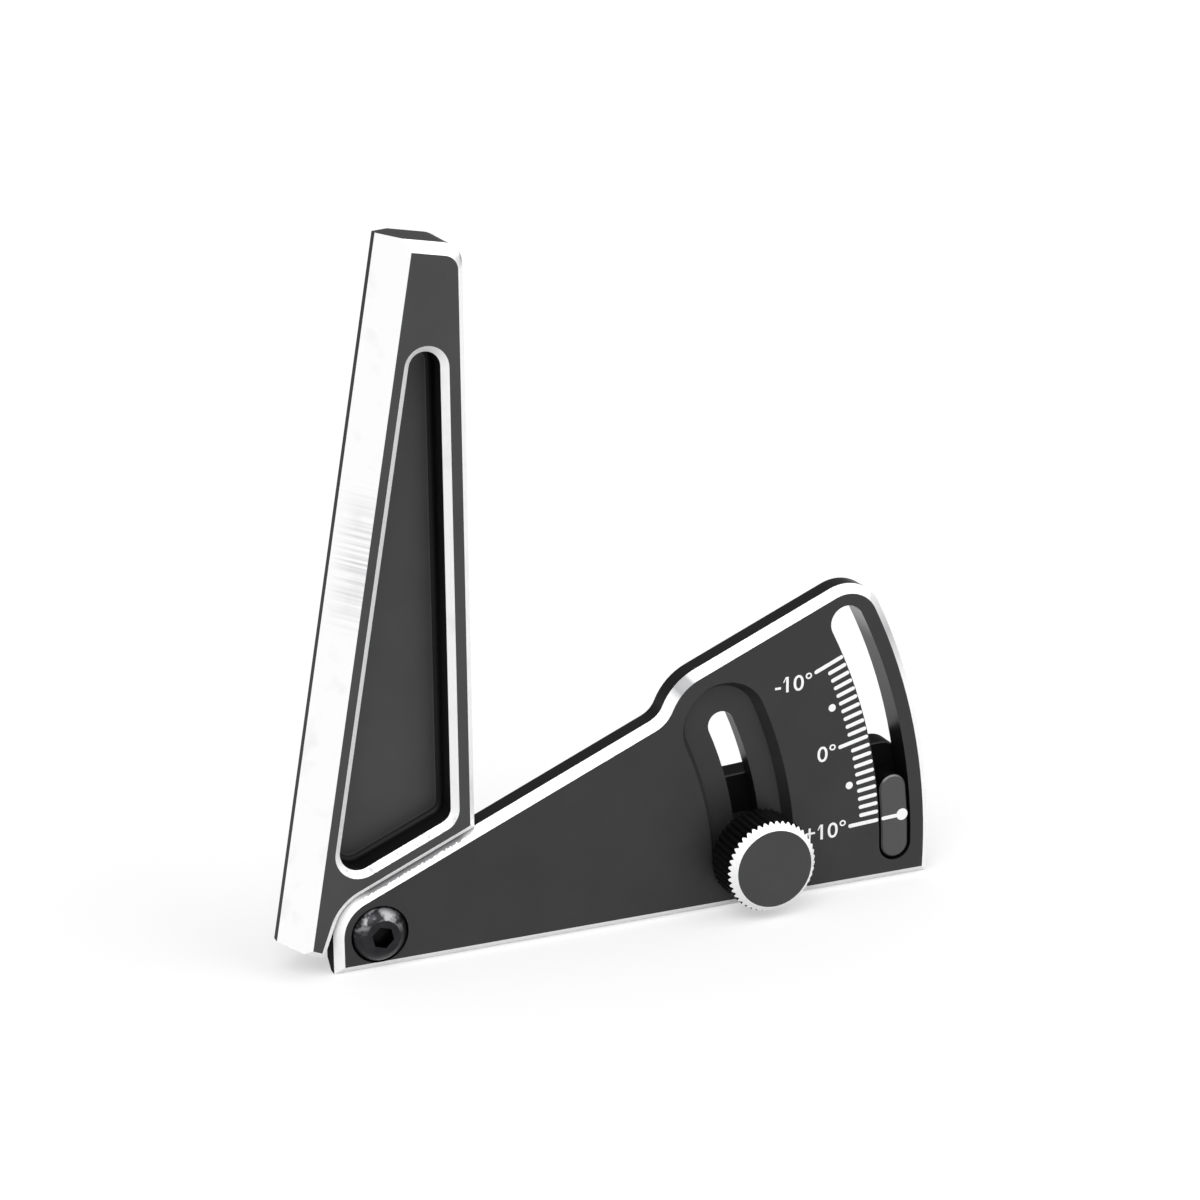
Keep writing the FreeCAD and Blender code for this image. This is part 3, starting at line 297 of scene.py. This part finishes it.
def ink_line(inner, outer, width):
    """A line with round ends: a disc whose half towards the pivot is pulled away."""
    line = ink_disc(outer - width / 2, width / 2)
    middle = pivot.x + outer - width / 2
    for vertex in line.data.vertices:
        vertex.select = vertex.co.x < middle
    bpy.ops.object.mode_set(mode="EDIT")
    bpy.ops.transform.translate(value=(inner - outer + width, 0, 0))
    bpy.ops.object.mode_set(mode="OBJECT")
    return line


def copy_turned(piece, degrees):
    """A copy of a piece, with its own mesh, turned about the pivot."""
    copy = piece.copy()
    copy.data = piece.data.copy()
    bpy.context.collection.objects.link(copy)
    copy.data.transform(turned_about_pivot(degrees))
    return copy


def join(name, parts):
    """Makes one piece of several."""
    bpy.ops.object.select_all(action="DESELECT")
    for part in parts:
        part.select_set(True)
    bpy.context.view_layer.objects.active = parts[0]
    bpy.ops.object.join()
    parts[0].name = name
    parts[0].data.name = name
    return parts[0]


printing_ink("white_printing_ink")
short_line = ink_line(line_inner, line_outer, line_width)
long_line = ink_line(long_line_inner, line_outer, line_width)
lines = []
for degree in range(-scale_end, scale_end + 1):
    pattern = short_line if degree % scale_end else long_line
    lines.append(copy_turned(pattern, scale_zero + degree))
scale_lines = join("scale_lines", lines)

dot = ink_disc(dot_reach, dot_radius)
scale_dots = join("scale_dots", [copy_turned(dot, scale_zero + degree) for degree in (-half_way, half_way)])
for pattern in (short_line, long_line, dot):
    bpy.data.objects.remove(pattern)

digit_height = 1.61 * MM
font_share = 0.682
digit_boldness = 0.015 * MM
digit_widening = 1.08
# The figure one gets its flag from a slash, made smaller and pushed into the stem.
flag_shrink = Matrix.Diagonal((0.6, 1, 0.34, 1))
flag_height = 0.8 * ink_height
flag_overlap = 0.08 * MM
foot_tolerance = 0.001 * MM
# How far along its line's direction a number ends, and how much further in the two are level.
number_end = 50.22 * MM
number_lean = 1.5 * MM


def printed_text(body, height):
    """Printed characters, starting at the origin and facing the front."""
    bpy.ops.object.select_all(action="DESELECT")
    bpy.ops.object.text_add(rotation=(math.pi / 2, 0, 0))
    words = bpy.context.object.data
    words.body = body
    words.size = (digit_height - 2 * digit_boldness) / font_share
    words.offset = digit_boldness
    words.extrude = height
    words.resolution_u = 6
    bpy.ops.object.convert(target="MESH")
    bpy.context.object.scale.x = digit_widening
    bpy.ops.object.transform_apply(location=True, rotation=True, scale=True)
    return bpy.context.object


def flag_of_one(stem_left, top):
    """The short slanted stroke of a figure one, which the font's own one lacks."""
    flag = printed_text("/", flag_height)
    flag.data.transform(flag_shrink)
    right = max(vertex.co.x for vertex in flag.data.vertices)
    high = max(vertex.co.z for vertex in flag.data.vertices)
    flag.data.transform(Matrix.Translation((stem_left + flag_overlap - right, 0, top - high)))
    return flag


numbers = []
for degree in (-scale_end, 0, scale_end):
    number = printed_text(f"{-degree:+d}°" if degree else "0°", ink_height)
    if degree:
        feet = [
            vertex.co.x for vertex in number.data.vertices
            if abs(vertex.co.z + digit_boldness) < foot_tolerance
        ]
        number = join("number", [number, flag_of_one(min(feet), digit_height - digit_boldness)])
    across = [vertex.co.x for vertex in number.data.vertices]
    direction = math.radians(scale_zero + degree)
    end_x = number_end * math.cos(direction)
    middle_z = (end_x - number_lean) * math.tan(direction)
    number.data.transform(Matrix.Translation((
        pivot.x + end_x - max(across), plate_face, pivot.z + middle_z - digit_height / 2 + digit_boldness
    )))
    numbers.append(number)
scale_numbers = join("scale_numbers", numbers)
for piece in (scale_lines, scale_dots, scale_numbers):
    cover(piece, "white_printing_ink")
    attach(piece, "plate")

# ---------------------------------------------------------------- gauge arm
# The upright, the leg behind the plate and the pointer, milled from one piece of aluminium. It has the
# plate's black skin, and its wide front bevel is cut bright with a fly cutter, straight across.
arm_lean = 10
plate_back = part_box("scale_plate")[1].y
arm_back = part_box("gauge_arm")[1].y
# The wide bevel lies between these two distances from the pivot's line, as the arm leans.
contact_reach = -10.08 * MM
bevel_reach = -6.7 * MM
# Where the grey streaks on the wide bevel, a painted reflection, are strongest.
reflection_height, reflection_reach = 40.5 * MM, 8 * MM
line_gap, line_length = 0.35 * MM, 40 * MM


def painted_reflection_streaks(tree, spot):
    """Grey streaks straight across the wide bevel, over a stretch of its height: a painted reflection.

    They are strongest away from the contact edge, and are drawn a little coarser than real ones.
    """
    upright = add_node(tree, "Mapping", {"Vector": spot, "Rotation": (0, -math.radians(arm_lean), 0)})
    place = add_node(tree, "SeparateXYZ", {"Vector": upright}).outputs
    stretch = line_gap / line_length
    drawn_out = add_node(tree, "Mapping", {"Vector": upright, "Scale": (stretch, stretch, 1)})
    lines = add_node(tree, "TexNoise", {"Vector": drawn_out, "Scale": 1 / line_gap, "Detail": 3.0})
    lines = add_node(tree, "MapRange", {"Value": lines, "From Min": 0.42, "From Max": 0.68})
    reflection_band = tent(tree, place["Z"], reflection_height, reflection_reach)
    reflection_lines = add_node(tree, "Math", {0: reflection_band, 1: lines}, operation="MULTIPLY")
    across = add_node(tree, "MapRange", {
        "Value": place["X"], "From Min": contact_reach, "From Max": (contact_reach + bevel_reach) / 2,
    })
    faded = add_node(tree, "Math", {0: reflection_lines, 1: across}, operation="MULTIPLY")
    is_bevel = add_node(tree, "Math", {0: place["X"], 1: bevel_reach}, operation="LESS_THAN")
    return add_node(tree, "Math", {0: faded, 1: is_bevel}, operation="MULTIPLY")


# The leg is all that lies below the foot's sloping edge, right of the hub and behind the plate.
foot_slope = math.radians(23.2)
foot_distance = -8.0 * MM
leg_start = 1 * MM
leg_inset = 0.1 * MM
pointer_start = 50 * MM
pointer_rim_brightness = 0.13
# The round at the foot of the pocket's wall, from its start to just past the pocket's floor, painted darker
# as painted shade.
round_start, round_end = 1.25 * MM, plate_back + 0.19 * MM
corner_height, corner_reach = 69.3 * MM, 1.1 * MM
faces_up_from = 0.3
sill_height, sill_core, sill_reach = 12 * MM, 3.5 * MM, 5 * MM
speck_size = 0.5 * MM


def arm_details(tree, spot, normal, dye_and_painted_light, satin, bare, is_cut):
    """A painted reflection in grey streaks on the wide bevel, specks on the pocket's sill and a spot of
    painted shade at the top corner.

    The pointer is paler, with a rim of black skin, and the leg's front and the pocket's round are painted
    darker, as painted shade.
    """
    place = add_node(tree, "SeparateXYZ", {"Vector": spot}).outputs
    facing = add_node(tree, "SeparateXYZ", {"Vector": normal}).outputs
    satin = rougher_left_walls(tree, place, facing, satin, rough=0.5)
    off_foot = (math.sin(foot_slope), 0, -math.cos(foot_slope))
    below_foot = add_node(tree, "VectorMath", {0: spot, 1: off_foot}, operation="DOT_PRODUCT")
    is_below = add_node(tree, "Math", {0: below_foot, 1: foot_distance}, operation="GREATER_THAN")
    leg_middle, leg_half = (plate_back + arm_back) / 2, (arm_back - plate_back) / 2 - leg_inset
    is_inside = add_node(tree, "Math", {0: place["Y"], 1: leg_middle, 2: leg_half}, operation="COMPARE")
    is_right = add_node(tree, "Math", {0: place["X"], 1: leg_start}, operation="GREATER_THAN")
    is_leg = add_node(tree, "Math", {0: is_below, 1: is_inside}, operation="MULTIPLY")
    is_leg = add_node(tree, "Math", {0: is_leg, 1: is_right}, operation="MULTIPLY")
    satin = add_node(tree, "Mix", {"Factor": is_leg, "A": satin, "B": 0.7})
    faces_front = add_node(tree, "Math", {0: facing["Y"], 1: -squarely}, operation="LESS_THAN")
    # The leg's front, behind the plate, is painted near black: painted shade.
    shaded_leg_front = add_node(tree, "Math", {0: is_leg, 1: faces_front}, operation="MULTIPLY")
    dye_and_painted_light = add_node(tree, "Mix", {"Factor": shaded_leg_front, "A": dye_and_painted_light, "B": "#0B0B0C"}, data_type="RGBA")

    is_pointer = add_node(tree, "Math", {0: place["X"], 1: pointer_start}, operation="GREATER_THAN")
    at_front = add_node(tree, "Math", {0: place["Y"], 1: 0.0}, operation="LESS_THAN")
    is_pointer_front = add_node(tree, "Math", {0: is_pointer, 1: at_front}, operation="MULTIPLY")
    is_pointer_face = add_node(tree, "Math", {0: is_pointer_front, 1: faces_front}, operation="MULTIPLY")
    dye_and_painted_light = add_node(tree, "Mix", {"Factor": is_pointer_face, "A": dye_and_painted_light, "B": "#535354"}, data_type="RGBA")

    # The round at the pocket wall's foot is painted darker as it turns from the floor: painted shade.
    is_round = add_node(tree, "Math", {
        0: place["Y"], 1: (round_start + round_end) / 2, 2: (round_end - round_start) / 2,
    }, operation="COMPARE")
    off_level = add_node(tree, "MapRange", {"Value": facing["Y"], "From Min": -0.999, "From Max": -0.985})
    shaded = add_node(tree, "Math", {0: is_round, 1: off_level}, operation="MULTIPLY")
    dye_and_painted_light = add_node(tree, "Mix", {"Factor": shaded, "A": dye_and_painted_light, "B": "#161617"}, data_type="RGBA")

    # Grey streaks across the wide bevel: painted reflection.
    reflection_streaks = painted_reflection_streaks(tree, spot)
    bare = add_node(tree, "Mix", {"Factor": reflection_streaks, "A": bare, "B": "#C0C0C4"}, data_type="RGBA")
    # A grey spot on the bevel at the arm's top corner: painted shade.
    faces_right = add_node(tree, "MapRange", {"Value": facing["X"], "From Min": 0.35, "From Max": 0.6})
    top_corner = tent(tree, place["Z"], corner_height, corner_reach)
    painted_corner_shade = add_node(tree, "Math", {0: faces_right, 1: top_corner}, operation="MULTIPLY")
    bare = add_node(tree, "Mix", {"Factor": painted_corner_shade, "A": bare, "B": "#98989A"}, data_type="RGBA")

    faces_up = add_node(tree, "Math", {0: facing["Z"], 1: faces_up_from}, operation="GREATER_THAN")
    sill = tent(tree, place["Z"], sill_height, sill_reach, core=sill_core)
    on_sill = add_node(tree, "Math", {0: faces_up, 1: sill}, operation="MULTIPLY")
    specks = add_node(tree, "TexNoise", {"Vector": spot, "Scale": 1 / speck_size, "Detail": 4.0})
    specks = add_node(tree, "MapRange", {"Value": specks, "From Min": 0.48, "From Max": 0.68})
    on_specks = add_node(tree, "Math", {0: on_sill, 1: specks}, operation="MULTIPLY")
    bare = add_node(tree, "Mix", {"Factor": on_specks, "A": bare, "B": "#B8B8BC"}, data_type="RGBA")

    upward = add_node(tree, "MapRange", {
        "Value": facing["Z"], "From Min": 0.35, "From Max": 0.7, "To Max": pointer_rim_brightness,
    })
    rim_end = add_node(tree, "Math", {0: is_cut, 1: upward}, operation="MULTIPLY")
    pointer_rim = add_node(tree, "Math", {0: rim_end, 1: at_front}, operation="MULTIPLY")
    is_cut = add_node(tree, "Mix", {"Factor": is_pointer, "A": is_cut, "B": pointer_rim})
    keeps_skin = add_node(tree, "Math", {0: is_round, 1: is_leg}, operation="MAXIMUM")
    is_cut = add_node(tree, "Math", {0: is_cut, 1: keeps_skin}, operation="SUBTRACT", use_clamp=True)
    return dye_and_painted_light, satin, bare, is_cut


anodised_aluminium(
    "arm_anodised_aluminium", deep="#434344", pale="#4E4E4F", wall="#161617", details=arm_details
)
cover(cad_objects["gauge_arm"], "arm_anodised_aluminium")

pointer_inner = 54.3 * MM
pointer_outer = 56.65 * MM
pointer_width = 0.4 * MM
pointer_dot_radius = 0.63 * MM
pointer_dot_height = 1.2 * ink_height
pointer_line = ink_line(pointer_inner, pointer_outer, pointer_width)
pointer_end = ink_disc(pointer_outer, pointer_dot_radius, pointer_dot_height)
pointer_mark = join("pointer_mark", [pointer_line, pointer_end])
pointer_mark.data.transform(turned_about_pivot(scale_zero - arm_lean))
cover(pointer_mark, "white_printing_ink")
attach(pointer_mark, "arm")

# ---------------------------------------------------------------- pivot screw, bush and shim
# M3 button-head screw in black oxide steel, the sintered bronze bush on it and the thin washer that
# keeps the leg off the plate.
smudge_size = 1.2 * MM
# The turned metal's grain is drawn coarser than real, so that it shows.
turned_grain_size = 0.1 * MM
turned_relief = 0.004 * MM
blot_size = 0.9 * MM
# How much smoother and rougher than its own roughness a finish gets in the smudges.
smoother, rougher = 0.06, 0.1


def turned_metal(name, deep, pale, roughness, socket=None):
    """Turned steel or bronze with a thin finish on it: a hard shine, mottled where it was handled.

    A screw's dome has pale blots of painted highlight on its upper side, and its socket is painted darker as
    painted shade:
    the socket is given as its middle, its radius and its depth.
    """
    tree = new_tree(name)
    place = add_node(tree, "TexCoord")
    spot = place.outputs["Object"]
    smudge = add_node(tree, "TexNoise", {"Vector": spot, "Scale": 1 / smudge_size, "Detail": 4.0})
    grain = add_node(tree, "TexNoise", {"Vector": spot, "Scale": 1 / turned_grain_size, "Detail": 2.0})
    colour = add_node(tree, "Mix", {"Factor": smudge, "A": deep, "B": pale}, data_type="RGBA")
    if socket:
        middle, radius, bottom = socket
        # Pale blots on the dome's upper side: painted highlight.
        upward = add_node(tree, "SeparateXYZ", {"Vector": place.outputs["Normal"]}).outputs["Z"]
        upward = add_node(tree, "MapRange", {"Value": upward, "From Min": 0.05, "From Max": 0.4})
        blots = add_node(tree, "TexNoise", {"Vector": spot, "Scale": 1 / blot_size, "Detail": 2.0})
        blots = add_node(tree, "MapRange", {"Value": blots, "From Min": 0.44, "From Max": 0.58})
        painted_highlight = add_node(tree, "Math", {0: upward, 1: blots}, operation="MULTIPLY")
        colour = add_node(tree, "Mix", {"Factor": painted_highlight, "A": colour, "B": "#8A8A8C"}, data_type="RGBA")

        # The socket is painted darker: painted shade.
        from_axis = add_node(tree, "VectorMath", {0: spot, 1: middle}, operation="SUBTRACT")
        across = add_node(tree, "VectorMath", {0: from_axis, 1: (1, 0, 1)}, operation="MULTIPLY")
        reach = add_node(tree, "VectorMath", {0: across}, operation="LENGTH")
        near = add_node(tree, "Math", {0: reach, 1: radius}, operation="LESS_THAN")
        depth = add_node(tree, "SeparateXYZ", {"Vector": from_axis}).outputs["Y"]
        deep_in = add_node(tree, "Math", {0: depth, 1: bottom / 2, 2: bottom / 2}, operation="COMPARE")
        painted_socket_shade = add_node(tree, "Math", {0: near, 1: deep_in}, operation="MULTIPLY")
        colour = add_node(tree, "Mix", {"Factor": painted_socket_shade, "A": colour, "B": "#161617"}, data_type="RGBA")
    rough = add_node(tree, "MapRange", {
        "Value": smudge, "To Min": roughness - smoother, "To Max": roughness + rougher,
    })
    bump = add_node(tree, "Bump", {"Height": grain, "Strength": 0.3, "Distance": turned_relief})
    shader = add_node(tree, "BsdfPrincipled", {
        "Base Color": colour, "Metallic": 1.0, "Roughness": rough, "Normal": bump,
    })
    add_node(tree, "OutputMaterial", {"Surface": shader})


socket_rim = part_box("pivot_screw")[0].y + 0.02 * MM
socket_radius = 1.25 * MM
socket_depth = 1.2 * MM
turned_metal(
    "black_oxide_steel", deep="#222224", pale="#3A3A3C", roughness=0.3,
    socket=(Vector((pivot.x, socket_rim, pivot.z)), socket_radius, socket_depth),
)
turned_metal("sintered_bronze", deep="#8A6332", pale="#B98C4E", roughness=0.4)
turned_metal("zinc_plated_steel", deep="#9A9CA0", pale="#BFC1C4", roughness=0.3)
turned_metal("black_washer_steel", deep="#2E2E30", pale="#474749", roughness=0.35)


acetal_mottle_size = 0.4 * MM


def black_plastic(name):
    """Punched acetal sheet, smooth and slightly waxy, with a faint mottle."""
    tree = new_tree(name)
    spot = add_node(tree, "TexCoord").outputs["Object"]
    mottle = add_node(tree, "TexNoise", {"Vector": spot, "Scale": 1 / acetal_mottle_size, "Detail": 2.0})
    colour = add_node(tree, "Mix", {"Factor": mottle, "A": "#1A1A1B", "B": "#242425"}, data_type="RGBA")
    shader = add_node(tree, "BsdfPrincipled", {"Base Color": colour, "Roughness": 0.45})
    add_node(tree, "OutputMaterial", {"Surface": shader})


black_plastic("black_acetal")
cover(cad_objects["pivot_screw"], "black_oxide_steel")
cover(cad_objects["pivot_bush"], "sintered_bronze")
cover(cad_objects["pivot_shim"], "black_acetal")

# ---------------------------------------------------------------- clamp
# The knurled aluminium knob on its M2.5 stud, the steel washer under it and the thin one behind the
# plate. The knob was anodised after knurling, and its front edge was then turned bright.
anodised_aluminium("knob_anodised_aluminium", deep="#414142", pale="#4B4B4C", wall="#151516")
cover(cad_objects["clamp_knob"], "knob_anodised_aluminium")
cover(cad_objects["clamp_stud"], "zinc_plated_steel")
cover(cad_objects["clamp_washer"], "black_washer_steel")
cover(cad_objects["clamp_shim"], "black_acetal")

# ---------------------------------------------------------------- studio
# A pale floor in a room that is white all round, with two soft lamps. The camera stands to the left of
# the front and a little above.
scene = bpy.context.scene
scene.view_settings.view_transform = "Standard"
floor_size = 3.0
bpy.ops.object.select_all(action="DESELECT")
bpy.ops.mesh.primitive_plane_add(size=floor_size, location=(0, 0, 0))
floor = bpy.context.object
floor.name = "floor"


def is_seen(tree):
    """1 where the camera sees a thing itself, in metal or through glass, and 0 where it only gives light."""
    path = add_node(tree, "LightPath").outputs
    seen = add_node(tree, "Math", {0: path["Is Camera Ray"], 1: path["Is Glossy Ray"]}, operation="MAXIMUM")
    return add_node(tree, "Math", {0: seen, 1: path["Is Transmission Ray"]}, operation="MAXIMUM")


tree = new_tree("pale_floor")
seen = is_seen(tree)
floor_colour = add_node(tree, "Mix", {"Factor": seen, "A": "#D0D0D0", "B": "#F8F8F8"}, data_type="RGBA")
lit_floor = add_node(tree, "BsdfDiffuse", {"Color": floor_colour})
white_floor = add_node(tree, "Emission", {"Color": "#FFFFFF", "Strength": 1.0})
half_seen = add_node(tree, "Math", {0: seen, 1: 0.5}, operation="MULTIPLY")
floor_shader = add_node(tree, "MixShader", {0: half_seen, 1: lit_floor, 2: white_floor})
add_node(tree, "OutputMaterial", {"Surface": floor_shader})
cover(floor, "pale_floor")

# The room is white as far as it is seen, up to the dark ceiling behind the gauge, which only metal shows.
world = bpy.data.worlds.new("white_room")
world.use_nodes = True
tree = world.node_tree
tree.nodes.clear()
ambient = 0.62
dark_ceiling = 0.25
toward = add_node(tree, "TexCoord").outputs["Generated"]
toward = add_node(tree, "SeparateXYZ", {"Vector": toward}).outputs
rise = add_node(tree, "MapRange", {"Value": toward["Z"], "From Min": -0.05, "From Max": 0.07})
behind = add_node(tree, "MapRange", {"Value": toward["Y"], "From Min": 0.0, "From Max": 0.5})
is_ceiling = add_node(tree, "Math", {0: rise, 1: behind}, operation="MULTIPLY")
mirrored = add_node(tree, "Mix", {"Factor": is_ceiling, "A": 1.0, "B": dark_ceiling})
is_camera = add_node(tree, "LightPath").outputs["Is Camera Ray"]
shown = add_node(tree, "Mix", {"Factor": is_camera, "A": mirrored, "B": 1.0})
sky = add_node(tree, "Mix", {"Factor": is_seen(tree), "A": ambient, "B": shown})
background = add_node(tree, "Background", {"Color": "#FFFFFF", "Strength": sky})
add_node(tree, "OutputWorld", {"Surface": background})
scene.world = world

# Each lamp's name, its angle round from the front and its height in degrees, its spread and its level.
lamps = (
    ("key_lamp", -35, 50, 40, 0.45),
    ("fill_lamp", 50, 40, 50, 0.28),
)
for name, azimuth, elevation, spread, level in lamps:
    round_angle, up_angle = math.radians(azimuth), math.radians(elevation)
    out = Vector((
        math.sin(round_angle) * math.cos(up_angle),
        -math.cos(round_angle) * math.cos(up_angle),
        math.sin(up_angle),
    ))
    light = bpy.data.lights.new(name, "SUN")
    light.angle = math.radians(spread)
    light.energy = level * math.pi
    lamp = bpy.data.objects.new(name, light)
    lamp.rotation_euler = out.to_track_quat("Z", "Y").to_euler()
    scene.collection.objects.link(lamp)

# The camera looks to the right by its azimuth and down by its elevation, and leans a little.
camera_azimuth = math.radians(22.767)
camera_elevation = math.radians(18.102)
camera_roll = math.radians(-0.514)
camera_depth = 329.68 * MM
picture_size = 1200
pivot_pixel = (380.1, 934.3)
focal_pixels = 3419.2
forward = Vector((
    math.sin(camera_azimuth) * math.cos(camera_elevation),
    math.cos(camera_azimuth) * math.cos(camera_elevation),
    -math.sin(camera_elevation),
))
level_right = Vector((math.cos(camera_azimuth), -math.sin(camera_azimuth), 0))
level_up = level_right.cross(forward)
right = math.cos(camera_roll) * level_right + math.sin(camera_roll) * level_up
up = math.cos(camera_roll) * level_up - math.sin(camera_roll) * level_right
pixel = camera_depth / focal_pixels
pivot_on_face = Vector((pivot.x, plate_face, pivot.z))
eye = (
    pivot_on_face - forward * camera_depth
    - right * (pivot_pixel[0] - picture_size / 2) * pixel + up * (pivot_pixel[1] - picture_size / 2) * pixel
)
camera_data = bpy.data.cameras.new("camera")
camera_data.lens = camera_data.sensor_width * focal_pixels / picture_size
camera_data.clip_start = 0.01
camera_data.clip_end = 20
camera = bpy.data.objects.new("camera", camera_data)
camera.matrix_world = Matrix.Translation(eye) @ Matrix((right, up, -forward)).transposed().to_4x4()
scene.collection.objects.link(camera)
scene.camera = camera
